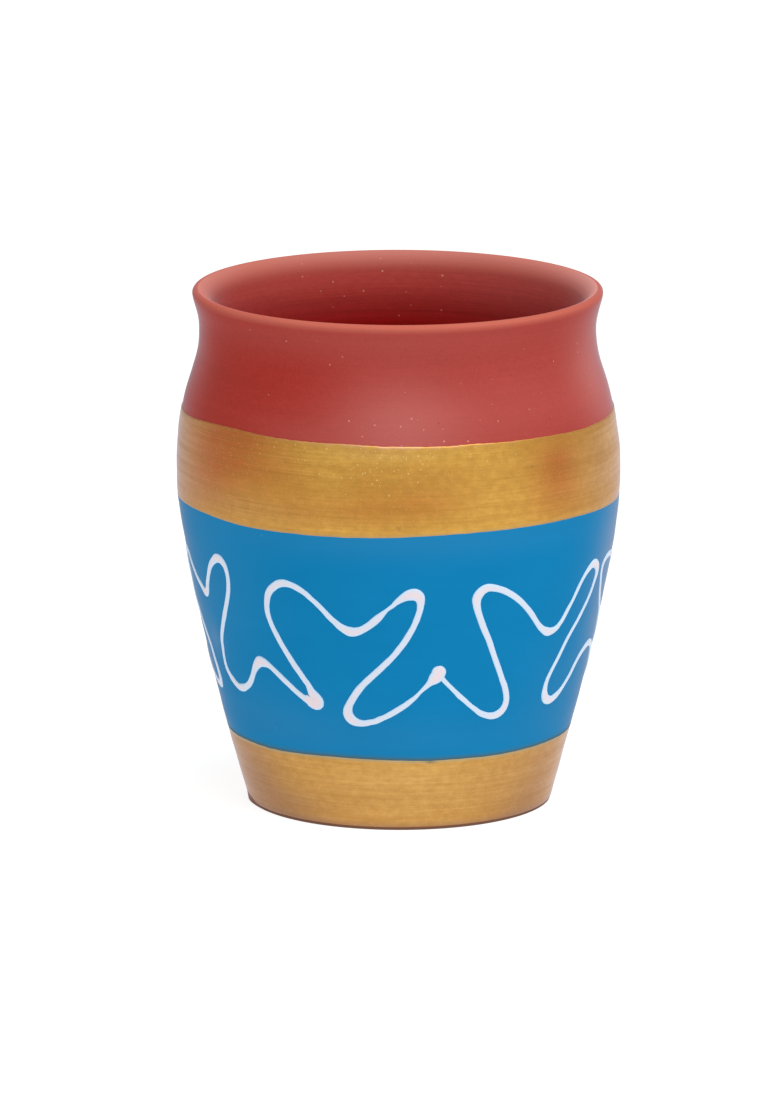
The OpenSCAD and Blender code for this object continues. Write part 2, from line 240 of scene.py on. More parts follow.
def vessel_grid():
    """The whole skin of the vessel as one run of rows: from the middle of the base out, up the
    outside, over the lip, down the hollow with its climbing ridges, round the heel to the floor.
    The second result says which rows belong to the outside."""
    base_rows = even_rows(1.2, base_r - base_round, 0.9)[:, None]
    arcs = np.hypot(base_rows * np.sin(turns) - cut_x, base_rows * np.cos(turns) + cut_y)
    wander = ring_noise(turns, base_rows, amount=0.5, seed=8, most_crests=3, steepest=0.3)
    cut = (0.5 - 0.5 * np.cos(2 * np.pi * arcs / cut_pitch + wander)) ** 2
    cut = cut_t * cut * np.clip((base_r - base_round - base_rows) / 2, 0, 1)
    base = turned_point(turns, base_rows * np.ones_like(turns), cut)

    # The base edge, with its burr, which is thickest at the left
    angle = np.linspace(0, np.pi / 2, 5)[:, None]
    burr = (burr_t + soft_patches(turns, 0, [(-80, 0, 10, 1, 0.22)])) * np.sin(angle) ** 2
    edge_r = base_r + burr - base_round * (1 - np.sin(angle)) - ovality(turns) * np.sin(angle)
    edge = turned_point(turns, edge_r, base_round * (1 - np.cos(angle)) + 0 * turns)

    # Up the outside, with the rows close together where the clay shows
    bare_h = 64
    up = np.concatenate([
        even_rows(base_round, bare_h, 2.4)[1:], even_rows(bare_h, lip_h, 0.35)[1:]])[:, None]
    outside = turned_point(turns, clay_r(turns, up), up + 0 * turns)

    # Over the lip's outer edge to its crest
    waver = ring_noise(turns, 0, amount=0.02, seed=9, most_crests=4)
    crest_sink = np.clip(crest_fall + waver, 0.01, 0.1)
    crest_r = clay_r(turns, lip_h + 0 * turns) - lip_edge
    angle = np.linspace(0, np.pi / 2, 9)[1:, None]
    crest_rise = (lip_edge - crest_sink) * np.sin(angle)
    outer = turned_point(turns, crest_r + lip_edge * np.cos(angle), lip_h + crest_rise)

    # From the crest the lip falls away in a curve that meets the hollow along its own slope
    hollow_top = cup_h - lip_fall
    join_r = hollow_r(turns, hollow_top + 0 * turns)
    t = np.linspace(0, 1, 14)[1:-1, None]
    steep = join_r - hollow_r(turns, hollow_top - 1 + 0 * turns)
    crest_z = cup_h - crest_sink
    knee = 1.35
    knee_r, knee_z = join_r + knee * steep, hollow_top + knee
    level_r = crest_r - 0.42 * (crest_r - knee_r)
    near, mid_near, mid_far, far = (1 - t) ** 3, 3 * (1 - t) ** 2 * t, 3 * (1 - t) * t ** 2, t ** 3
    inner_r = near * crest_r + mid_near * level_r + mid_far * knee_r + far * join_r
    inner_z = (near + mid_near) * crest_z + mid_far * knee_z + far * hollow_top
    inner = turned_point(turns, inner_r, inner_z)

    # Down the hollow, with the rows close together as far as the eye reaches, and round the heel
    seen_h = 60
    down = np.concatenate([
        even_rows(hollow_top, seen_h, 0.45), even_rows(seen_h, heel_top, 1.1)[1:]])[:, None]
    angle = np.linspace(np.pi / 2, 0, 13)[1:, None]
    heights = np.concatenate([down, floor_t + heel_r * (1 - np.cos(angle))])
    radii = hollow_r(turns, heights)
    radii[len(down):] -= heel_r * (1 - np.sin(angle))
    hollow = turned_point(turns, radii, heights + 0 * turns)

    # In over the floor to its middle
    share = np.linspace(1, 0.03, 20)[1:, None]
    fade = np.clip(share * (1 - share) * 5, 0, 1)
    curl = curl_t * np.cos(2 * np.pi * share * curl_turns + turns) * fade
    floor = turned_point(turns, radii[-1:] * share, floor_t + floor_rise * (1 - share ** 2) ** 2 + curl)
    rows = np.concatenate([base, edge, outside, outer, inner, hollow, floor])
    outer_count = len(base) + len(edge) + len(outside) + len(outer)
    return rows, np.arange(len(rows))[:, None] < outer_count


skin, outer_side = vessel_grid()
skin_h = skin[..., 2] / mm
skin_r = np.hypot(skin[..., 0], skin[..., 1]) / mm
vessel = sheet_mesh("clay_vessel", skin, start_pole=True, end_pole=True, attributes={
    # The inside, and painted shade down in it, a deeper red: most twelve to seventeen millimetres below
    # the crest
    "inside": np.where(outer_side, 0, ramp(skin_h, 83.6, 80.6)),
    "depth": np.where(
        outer_side, 0, ramp(skin_h, cup_h - 4.2, cup_h - 12) * (1 - 0.6 * ramp(skin_h, 68, 58))),
    # Painted light on the lip, where it faces up: a lighter narrow band outside, less at its sides, and
    # fading further down inside
    "painted_lit_rim": np.where(
        outer_side,
        ramp(skin_h, 83.5, 84.5) * (1 - 0.4 * np.sin(turns) ** 4),
        ramp(skin_h, 81.6, 84.5)),
    # Painted sheen on the inner side of the lip, most at its right and left and a little at the back,
    # and painted grey shade at the back
    "dust_and_painted_sheen": np.where(outer_side, 0, soft_patches(turns, skin_h, [
        (88, 85, 34, 2.4, 0.8), (-88, 85, 30, 2.4, 0.4), (180, 85, 60, 2.4, 0.16)])),
    "shade": np.where(outer_side, 0, soft_patches(turns, skin_h, [(180, 85.3, 66, 2, 0.1)])),
    # Deeper red at the left of the front
    "ruddy": soft_patches(turns, skin_h, [(-36, 76.5, 18, 4.5, 0.7)]),
    # Painted contact shadow: a dark line round the cut edge of the base
    "painted_contact_shadow": np.where(outer_side, ramp(skin_h, 0.9, 0.74) * ramp(skin_r, 21, 24), 0),
    # Painted sheen on the neck: most at the front and on the right, least at the left of the front,
    # and a little of it inside at both sides
    "painted_sheen_patches": np.where(
        outer_side,
        soft_patches(turns, skin_h, [
            (1, 68.5, 19, 8.2, 0.44), (10, 83, 60, 4.5, 0.15), (-42, 81, 24, 3.5, 0.04),
            (-28, 66.5, 16, 3, 0.1), (38, 70, 22, 9, 0.18), (72, 73, 14, 10, 0.5),
            (-78, 73, 10, 10, 0.2), (180, 72, 60, 8, 0.2)]),
        soft_patches(turns, skin_h, [
            (130, 78, 30, 6, 0.14), (98, 79, 14, 7, 0.16), (-130, 78, 30, 5, 0.06)])),
    # Where more of the mica specks are painted, as painted glints: above the gold at the front, and
    # inside the lip at the back
    "glitter": np.where(
        outer_side,
        soft_patches(turns, skin_h, [
            (2, 66.9, 16, 2.6, 1.8), (58, 76, 10, 4, 0.6), (0, 74, 60, 9, 0.22)]),
        soft_patches(turns, skin_h, [(180, 81, 26, 3, 1.0), (180, 78, 60, 6, 0.4)])),
})
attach(vessel, "root")
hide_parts("clay_body")


def new_group(name, inputs, outputs):
    """A shader node group with named number sockets, and its input and output nodes."""
    group = bpy.data.node_groups.new(name, "ShaderNodeTree")
    for label, value in inputs.items():
        socket = group.interface.new_socket(label, in_out="INPUT", socket_type="NodeSocketFloat")
        socket.default_value = value
    for label in outputs:
        group.interface.new_socket(label, in_out="OUTPUT", socket_type="NodeSocketFloat")
    return group, group.nodes.new("NodeGroupInput"), group.nodes.new("NodeGroupOutput")


def give(tree, node, **inputs):
    """Gives a node's sockets a link or a constant each, by name, or by number as s0, s1."""
    for key, value in inputs.items():
        socket = node.inputs[int(key[1:]) if key[1:].isdigit() else key.replace("_", " ")]
        if isinstance(value, bpy.types.NodeSocket):
            tree.links.new(value, socket)
        else:
            socket.default_value = value
    return node


def place(tree, kind, settings=None, **inputs):
    """One new node with its settings and what its sockets are given."""
    node = tree.nodes.new(kind)
    for key, value in (settings or {}).items():
        setattr(node, key, value)
    return give(tree, node, **inputs)


def maths(tree, operation, a, b, clamp=False):
    """The result of one sum on two numbers or sockets."""
    settings = {"operation": operation, "use_clamp": clamp}
    return place(tree, "ShaderNodeMath", settings, s0=a, s1=b).outputs[0]


def mapped(tree, scale):
    """The object's own coordinates, stretched."""
    source = tree.nodes.new("ShaderNodeTexCoord").outputs["Object"]
    return place(tree, "ShaderNodeMapping", Vector=source, Scale=scale).outputs[0]


def wheel_lines_group():
    """Lines that run round the cup: noise that is stretched flat, so it changes slowly round the
    wall and fast up it, at two spacings."""
    group, given, sent = new_group("wheel_lines", {"Fine": 0.5, "Contrast": 1.0}, ["Lines"])
    coarse = place(group, "ShaderNodeTexNoise", Vector=mapped(group, (22, 22, 900)), Scale=1.0,
                   Detail=3.0, Roughness=0.6).outputs[0]
    fine = place(group, "ShaderNodeTexNoise", Vector=mapped(group, (70, 70, 3200)), Scale=1.0,
                 Detail=2.0, Roughness=0.5).outputs[0]
    swing = maths(group, "ADD",
                  maths(group, "SUBTRACT", coarse, 0.5),
                  maths(group, "MULTIPLY", maths(group, "SUBTRACT", fine, 0.5), given.outputs["Fine"]))
    swing = maths(group, "MULTIPLY", swing, given.outputs["Contrast"])
    group.links.new(maths(group, "ADD", swing, 0.5, clamp=True), sent.inputs["Lines"])
    return group


def specks_group():
    """Sparse round specks: the cells of a Voronoi pattern whose own random value is low enough,
    as a soft dot round each cell's middle."""
    group, given, sent = new_group("specks", {"Density": 900.0, "Share": 0.05, "Size": 0.3}, ["Specks"])
    cells = place(group, "ShaderNodeTexVoronoi", Vector=mapped(group, (1, 1, 1)),
                  Scale=given.outputs["Density"], Randomness=1.0)
    parts = place(group, "ShaderNodeSeparateColor", Color=cells.outputs["Color"])
    chosen = maths(group, "LESS_THAN", parts.outputs[0], given.outputs["Share"])
    reach = maths(group, "MULTIPLY", given.outputs["Size"], maths(group, "ADD", parts.outputs[1], 0.5))
    far = maths(group, "DIVIDE", cells.outputs["Distance"], reach)
    dot = maths(group, "POWER", maths(group, "SUBTRACT", 1.0, far, clamp=True), 0.6)
    group.links.new(maths(group, "MULTIPLY", chosen, dot), sent.inputs["Specks"])
    return group


def clouds_group():
    """Soft patches a few millimetres to a few centimetres wide, a little flattened."""
    group, given, sent = new_group("clouds", {"Density": 60.0, "Contrast": 1.0}, ["Clouds"])
    noise = place(group, "ShaderNodeTexNoise", Vector=mapped(group, (1, 1, 1.6)),
                  Scale=given.outputs["Density"], Detail=4.0, Roughness=0.55).outputs[0]
    swing = maths(group, "MULTIPLY", maths(group, "SUBTRACT", noise, 0.5), given.outputs["Contrast"])
    group.links.new(maths(group, "ADD", swing, 0.5, clamp=True), sent.inputs["Clouds"])
    return group


wheel_lines = wheel_lines_group()
specks = specks_group()
clouds = clouds_group()


def grouped(tree, group, **inputs):
    """One of the groups above in a material, with its own values."""
    return place(tree, "ShaderNodeGroup", {"node_tree": group}, **inputs).outputs[0]


def told(tree, name):
    """A value that the mesh carries at each point."""
    return place(tree, "ShaderNodeAttribute", {"attribute_name": name}).outputs["Fac"]


def blended(tree, share, first, second):
    """Two colours mixed by a share. The Mix node keeps its colours in the sockets 6 and 7."""
    settings = {"data_type": "RGBA", "clamp_factor": True}
    return place(tree, "ShaderNodeMix", settings, s0=share, s6=first, s7=second).outputs[2]


def scaled(tree, value, by):
    """A share made larger or smaller."""
    return maths(tree, "MULTIPLY", value, by)


def layered(tree, colour, layers):
    """A colour with others laid over it one after another. Each has its share, or the name of the
    value on the mesh that gives it, then its strength, then its colour."""
    for share, strength, tint in layers:
        share = told(tree, share) if isinstance(share, str) else share
        share = share if strength == 1 else scaled(tree, share, strength)
        colour = blended(tree, share, colour, (*tint, 1))
    return colour


def with_painted_sheen(tree, colour, haze, most, power):
    """A colour with painted sheen: it whitens where the face turns away from the eye, as a matt,
    powdery face does.
    """
    facing = place(tree, "ShaderNodeLayerWeight", Blend=0.5).outputs["Facing"]
    return blended(tree, scaled(tree, maths(tree, "POWER", facing, power), most), colour, haze)


def new_material(name):
    """An empty material with its Principled shader."""
    material = bpy.data.materials.new(name)
    material.use_nodes = True
    return material, material.node_tree, material.node_tree.nodes["Principled BSDF"]


def relieved(tree, height, depth, strength):
    """The normal of a face with fine relief on it, of a depth in metres."""
    return place(tree, "ShaderNodeBump", Height=height, Distance=depth, Strength=strength).outputs[0]


def terracotta():
    """Fired red clay: dry, a little darker in the turning lines, with painted shade of deep red down
    inside, mica specks with painted glints, painted sheen and painted light on the neck and the lip,
    and a painted contact shadow round the base."""
    material, tree, shader = new_material("terracotta")
    lines = grouped(tree, wheel_lines, Fine=0.7, Contrast=1.2)
    patches = grouped(tree, clouds, Density=45.0, Contrast=1.4)
    mottle = grouped(tree, clouds, Density=750.0, Contrast=2.6)
    grain = place(tree, "ShaderNodeTexNoise", Vector=mapped(tree, (1, 1, 1)), Scale=2600.0,
                  Detail=3.0, Roughness=0.6).outputs[0]
    pores = grouped(tree, specks, Density=780.0, Share=0.06, Size=0.12)
    mica_share = maths(tree, "ADD", 0.02, scaled(tree, told(tree, "glitter"), 0.3))
    mica = grouped(tree, specks, Density=1000.0, Share=mica_share, Size=0.14)
    grain_share = scaled(tree, maths(tree, "SUBTRACT", 1.0, told(tree, "depth")), 0.34)
    outside = blended(tree, patches, (0.345, 0.024, 0.015, 1), (0.425, 0.040, 0.029, 1))
    # The hollow's colour carries painted shade: a deep, dark red further down
    hollow = blended(tree, told(tree, "depth"), (0.55, 0.070, 0.061, 1), (0.50, 0.006, 0.0075, 1))
    colour = layered(tree, blended(tree, told(tree, "inside"), outside, hollow), [
        ("ruddy", 1, (0.38, 0.018, 0.010)),
        (lines, 0.4, (0.24, 0.012, 0.008)),
        (mottle, 0.27, (0.27, 0.016, 0.011)),
        (grain, grain_share, (0.56, 0.095, 0.074)),
        # Painted sheen on the neck
        ("painted_sheen_patches", 1, (0.58, 0.205, 0.19))])
    # Painted sheen where the face turns away from the eye
    colour = layered(tree, with_painted_sheen(tree, colour, (0.55, 0.48, 0.54, 1), most=0.95, power=6.5), [
        # Painted light on the lip
        ("painted_lit_rim", 1, (0.54, 0.132, 0.092)),
        # Painted sheen inside the lip
        ("dust_and_painted_sheen", 1, (0.72, 0.34, 0.31)),
        # Painted grey shade at the back of the lip
        ("shade", 1, (0.15, 0.28, 0.30)),
        (pores, 0.4, (0.14, 0.02, 0.015)),
        # Mica specks, with painted glints
        (mica, 0.62, (0.85, 0.48, 0.38)),
        # Painted contact shadow round the base's edge
        ("painted_contact_shadow", 1, (0.17, 0.095, 0.06))])
    relief = maths(tree, "ADD", scaled(tree, lines, 0.8), scaled(tree, grain, 0.5))
    relief = maths(tree, "SUBTRACT", relief, scaled(tree, pores, 0.8))
    give(tree, shader, Base_Color=colour, Specular_IOR_Level=0.06,
         Roughness=maths(tree, "SUBTRACT", 0.85, scaled(tree, mica, 0.4)),
         Normal=relieved(tree, relief, depth=0.06 * mm, strength=0.6))
    return material


vessel.data.materials.append(terracotta())

# The gold paint
# Two coats of metallic paint, one round the shoulder and one round the foot, brushed on while
# the cup turned. The brush leaves fine streaks round the cup and an edge that wavers a little.
gold_t = 0.13
# A coat's inner face lies this far under the clay's surface
coat_sunk = 0.06
# The gold runs on under the blue paint by this much
lap = 0.6
coat_cols = 512
coat_turns = np.linspace(0, 2 * np.pi, coat_cols, endpoint=False)[None, :]


def edge_height(turns, seed, shift, picks):
    """The height of a painted edge at any turn: straight runs between the places given, in
    degrees from the front and millimetres, evened over a few degrees, with small brush nicks,
    and all moved by the shift that the fitted camera asks for."""
    at, up = np.array(picks).T
    # Evened with a bell four degrees in half width, out to nine degrees
    spread = np.linspace(-9, 9, 13)[:, None, None]
    weight = np.exp(-(spread / 4) ** 2)
    runs = np.interp(np.degrees(turns)[None] + spread, at, up, period=360)
    level = (runs * weight).sum(0) / weight.sum()
    return shift + (level + ring_noise(turns, 0, amount=0.014, seed=seed, most_crests=70))


gold_top = edge_height(coat_turns, seed=23, shift=-0.1, picks=[
    (-73, 65.6), (-63, 66.05), (-49, 66.35), (-37, 66.0), (-20, 65.87), (-13, 66.05), (-6, 65.72),
    (5, 65.72), (14, 65.6), (20, 65.83), (29, 65.56), (44, 65.57), (56, 65.3), (76, 65.36),
    (104, 65.75), (131, 65.5), (165, 65.9), (198, 65.6), (226, 65.8), (262, 65.5)])
# The gold's upper edge is rougher, because the brush dragged over bare clay there
gold_top = gold_top + ring_noise(coat_turns, 0, amount=0.02, seed=61, most_crests=190)
gold_blue = edge_height(coat_turns, seed=43, shift=0.06, picks=[
    (-69, 51.12), (-60, 51.15), (-50, 50.86), (-43, 50.66), (-36, 50.7), (-15, 50.76), (-3, 50.87),
    (4, 51.1), (16, 51.3), (28, 51.38), (45, 51.4), (54, 51.42), (72, 51.12), (101, 51.05),
    (140, 51.3), (175, 51.0), (214, 51.25), (252, 50.95)])
blue_foot = edge_height(coat_turns, seed=41, shift=-0.28, picks=[
    (-59, 12.44), (-47, 12.3), (-30, 12.56), (-20, 12.66), (-9, 12.58), (0, 12.52), (10, 12.3),
    (15, 12.4), (32, 12.28), (44, 12.36), (61, 12.48), (95, 12.4), (133, 12.55), (170, 12.3),
    (207, 12.5), (249, 12.35)])


def coat_grid(turns, low, high, step, thick, rounding):
    """A coat of paint as a closed skin: its outer face stands off the clay by its thickness,
    rounded off towards both edges, and its inner face lies just under the clay's surface. The
    rows lie close together near both edges, where the paint rounds off and changes colour."""
    rows = int(np.ceil((np.max(high) - np.min(low)) / step)) + 1
    close = np.array([0, 0.03, 0.08, 0.15, 0.22, 0.3, 0.4, 0.5, 0.6])[:, None]
    margin = 0.75
    between = low + margin + (high - low - 2 * margin) * np.linspace(0, 1, rows)[:, None]
    heights = np.concatenate([low + close, between, high - close[::-1]])
    edge = np.minimum(heights - low, high - heights)
    roundness = 1 - np.clip(1 - edge / rounding, 0, 1) ** 2
    outer = clay_r(turns, heights) + thick * np.sqrt(roundness)
    inner_z = low + (high - low) * np.linspace(1, 0, 12)[:, None]
    inner = clay_r(turns, inner_z) - coat_sunk
    return np.concatenate([
        turned_point(turns, outer, heights), turned_point(turns, inner, inner_z)])


def near_edge(grid, edge, reach):
    """How near each point of a coat lies to a painted edge: one on it, fading over the reach."""
    return np.exp(-((grid[..., 2] / mm - edge) / reach) ** 2)


shoulder_grid = coat_grid(coat_turns, gold_blue - lap, gold_top, step=0.3, thick=gold_t, rounding=0.3)
shoulder_h = shoulder_grid[..., 2] / mm
shoulder_gold = sheet_mesh("shoulder_gold_paint", shoulder_grid, close_rows=True, attributes={
    # The upper edge catches the light in places along the front
    "lit_edge": (near_edge(shoulder_grid, gold_top - 0.12, 0.26)
                 * soft_patches(coat_turns, 0, [(-2, 0, 30, 1, 1), (-1, 0, 6, 1, 0.5)])
                 * np.clip(0.8 + ring_noise(coat_turns, 0, amount=0.4, seed=62, most_crests=90), 0, 1)),
    # Greyed where the blue paint's edge lies on it
    "rubbed_edge": 0.5 * near_edge(shoulder_grid, gold_blue + 0.08, 0.13),
    # Where the paint lies thick and yellow, with a painted highlight and painted glints at the top of
    # the front, and where it is thin and the clay reddens it
    "rich_and_painted_highlight": soft_patches(coat_turns, shoulder_h, [
        (-2, 64.4, 26, 2.2, 0.9), (26, 62, 14, 4, 0.5), (27, 55, 17, 5, 0.6), (0, 52, 40, 1.6, 0.35),
        (-18, 60, 7, 7, 0.4), (180, 60, 60, 4, 0.4)]),
    "glint": soft_patches(coat_turns, shoulder_h, [(-2, 64.4, 18, 1.6, 1), (-6, 61, 12, 1.6, 0.6)]),
    "thin": soft_patches(coat_turns, shoulder_h, [
        (-52, 62, 20, 5, 1.0), (-46, 65, 14, 1.6, 0.5), (-60, 56, 12, 4, 0.5), (45, 61, 8, 3.5, 0.9),
        (43, 56, 10, 3.5, 0.7), (8, 56.5, 14, 2.2, 0.4), (-16, 55, 14, 2.2, 0.3), (120, 58, 20, 4, 0.4),
        (230, 60, 25, 4, 0.4)]),
    # Painted sheen, where its metal looks lighter, and painted shade, where it looks darker and flatter
    "painted_metal_sheen": soft_patches(coat_turns, shoulder_h, [
        (78, 58, 16, 8, 0.3), (-40, 53, 20, 2.5, 0.15), (-4, 64.9, 13, 1.4, 0.3)]),
    "painted_metal_shade": soft_patches(coat_turns, shoulder_h, [
        (-82, 58, 16, 9, 0.6), (-54, 54, 18, 3, 0.2), (64, 57, 10, 7, 0.3)]),
    "smudge": 0,
})
# The foot's gold stops a little above the base, and that edge wavers
foot_low = 0.44 + 0.06 * np.cos(coat_turns + 0.9) + 0.02 * np.sin(3 * coat_turns)
foot_grid = coat_grid(coat_turns, foot_low, blue_foot + lap, step=0.3, thick=gold_t, rounding=0.3)
foot_h = foot_grid[..., 2] / mm
foot_gold = sheet_mesh("foot_gold_paint", foot_grid, close_rows=True, attributes={
    "lit_edge": 0,
    "rubbed_edge": near_edge(foot_grid, blue_foot - 0.06, 0.17),
    # Thick, yellow paint, with a painted highlight at the front
    "rich_and_painted_highlight": soft_patches(coat_turns, foot_h, [(0, 9, 34, 6, 0.4), (180, 6, 60, 5, 0.3)]),
    "glint": 0,
    "thin": soft_patches(coat_turns, foot_h, [(-66, 5, 16, 6, 0.35), (66, 5, 14, 6, 0.25)]),
    # Painted sheen at the front and at both sides
    "painted_metal_sheen": soft_patches(coat_turns, foot_h, [
        (5, 7, 50, 9, 0.4), (76, 8, 16, 10, 0.5), (-76, 8, 14, 10, 0.3)]),
    # Painted shade just above the base and towards both sides, and one smear of blue below its edge
    "painted_metal_shade": 0.6 * near_edge(foot_grid, foot_low, 0.8) + soft_patches(coat_turns, foot_h, [
        (-64, 6, 22, 10, 0.74), (58, 6, 22, 10, 0.45), (-42, 2.5, 18, 3, 0.4), (52, 2, 16, 2.5, 0.3)]),
    "smudge": soft_patches(coat_turns, foot_h, [(10.4, 12.0, 1.5, 0.35, 0.6)]),
})


def gold_paint():
    """Metallic gold paint: flakes in a brown binder, darker and duller along the brush's streaks."""
    material, tree, shader = new_material("gold_paint")
    streaks = grouped(tree, wheel_lines, Fine=0.8, Contrast=1.8)
    patches = grouped(tree, clouds, Density=90.0, Contrast=1.8)
    mottle = grouped(tree, clouds, Density=620.0, Contrast=2.8)
    flakes = grouped(tree, specks, Density=3400.0, Share=0.3, Size=0.4)
    dots = grouped(tree, specks, Density=420.0, Share=0.07, Size=0.16)
    glint_share = scaled(tree, told(tree, "glint"), 0.45)
    glints = grouped(tree, specks, Density=2600.0, Share=glint_share, Size=0.3)
    binder = blended(tree, patches, (0.56, 0.26, 0.045, 1), (0.70, 0.37, 0.075, 1))
    colour = layered(tree, binder, [
        ("thin", 1, (0.50, 0.122, 0.030)),
        # Thick, yellow paint, with a painted highlight at the top of the front
        ("rich_and_painted_highlight", 1, (0.82, 0.48, 0.095)),
        # Painted sheen
        ("painted_metal_sheen", 1, (0.76, 0.47, 0.20)),
        # Painted shade
        ("painted_metal_shade", 1, (0.36, 0.20, 0.13)),
        (streaks, 0.34, (0.42, 0.19, 0.03)),
        (mottle, 0.34, (0.38, 0.18, 0.03)),
        (dots, 0.35, (0.22, 0.14, 0.05)),
        (flakes, 0.2, (0.90, 0.62, 0.20)),
        (glints, 0.6, (1.0, 0.84, 0.36)),
        ("lit_edge", 0.4, (0.82, 0.46, 0.30)),
        ("rubbed_edge", 0.6, (0.38, 0.40, 0.28)),
        ("smudge", 1, (0.06, 0.12, 0.10))])
    relief = maths(tree, "ADD", streaks, scaled(tree, flakes, 0.35))
    give(tree, shader, Metallic=0.6, Specular_IOR_Level=0.2,
         # Painted sheen where the face turns away from the eye
         Base_Color=with_painted_sheen(tree, colour, (0.58, 0.50, 0.60, 1), most=0.9, power=6.5),
         Roughness=maths(tree, "ADD", 0.42, scaled(tree, streaks, 0.16)),
         Normal=relieved(tree, relief, depth=0.05 * mm, strength=0.6))
    return material


gold = gold_paint()
for piece, node in ((shoulder_gold, "shoulder_gold_band"), (foot_gold, "foot_gold_band")):
    piece.data.materials.append(gold)
    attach(piece, "root")
    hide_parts(node)

# The blue paint
# A flat, even coat of blue poster paint over the belly and the lower wall. It is brushed on
# after the gold, and laps over it at both edges.
blue_t = 0.17
blue_grid = coat_grid(coat_turns, blue_foot, gold_blue, step=0.4, thick=blue_t, rounding=0.25)
blue_h = blue_grid[..., 2] / mm
blue_coat = sheet_mesh("blue_paint", blue_grid, close_rows=True, attributes={
    # Painted shadow along the lower edge
    "painted_edge_shadow": near_edge(blue_grid, blue_foot + 0.22, 0.42),
    # Painted sheen in patches, and where the face whitens sooner as it turns away
    "painted_sheen_patches": soft_patches(coat_turns, blue_h, [
        (-62, 40, 20, 14, 0.4), (-68, 29, 5, 3, 1.5), (76, 44, 12, 12, 0.9), (66, 20, 20, 10, 0.5),
        (-50, 18, 30, 6, 0.3), (0, 50, 60, 3, 0.3), (0, 16, 60, 4, 0.2)]),
    "sheen": soft_patches(coat_turns, blue_h, [(78, 40, 24, 18, 1)]),
})


def blue_paint():
    """Flat blue poster paint: even, with faint brush lines and a little dust."""
    material, tree, shader = new_material("blue_paint")
    streaks = grouped(tree, wheel_lines, Fine=0.6, Contrast=1.2)
    patches = grouped(tree, clouds, Density=50.0, Contrast=1.2)
    dust_and_painted_sheen = grouped(tree, specks, Density=500.0, Share=0.02, Size=0.09)
    paint = blended(tree, patches, (0.004, 0.205, 0.455, 1), (0.007, 0.235, 0.505, 1))
    colour = layered(tree, paint, [
        (streaks, 0.3, (0.003, 0.185, 0.415)),
        # Painted sheen in patches
        ("painted_sheen_patches", 0.12, (0.30, 0.38, 0.50))])
    # Painted sheen that starts sooner as the face turns away at the right
    power = maths(tree, "SUBTRACT", 8.0, scaled(tree, told(tree, "sheen"), 4.0))
    # Painted sheen where the face turns away from the eye
    colour = layered(tree, with_painted_sheen(tree, colour, (0.36, 0.40, 0.52, 1), most=1.0, power=power), [
        (dust_and_painted_sheen, 0.4, (0.16, 0.42, 0.66)),
        # Painted shadow along the lower edge
        ("painted_edge_shadow", 0.8, (0.08, 0.13, 0.11))])
    give(tree, shader, Base_Color=colour, Roughness=0.7, Specular_IOR_Level=0.02,
         Normal=relieved(tree, streaks, depth=0.04 * mm, strength=0.5))
    return material


blue_coat.data.materials.append(blue_paint())
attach(blue_coat, "root")
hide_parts("blue_band")

# The trailed white line
# Thick white paint squeezed from a nozzle in one unbroken line all round the blue, in six
# drawn motifs. It is thick where the hand slowed, thin where it hurried, and ends in a blob.
bead_t = 0.2
bead_step = 0.25
# The line's foot lies a little in the blue paint, and its underside deeper
bead_sunk = 0.02
bead_under = 0.05
# Its back sinks along its middle: by what share, and over what share of its half width
dip_share, dip_reach_share = 0.16, 0.38
# A line of this half width has its full height, a thinner one less and a wider one more
full_half = 0.55
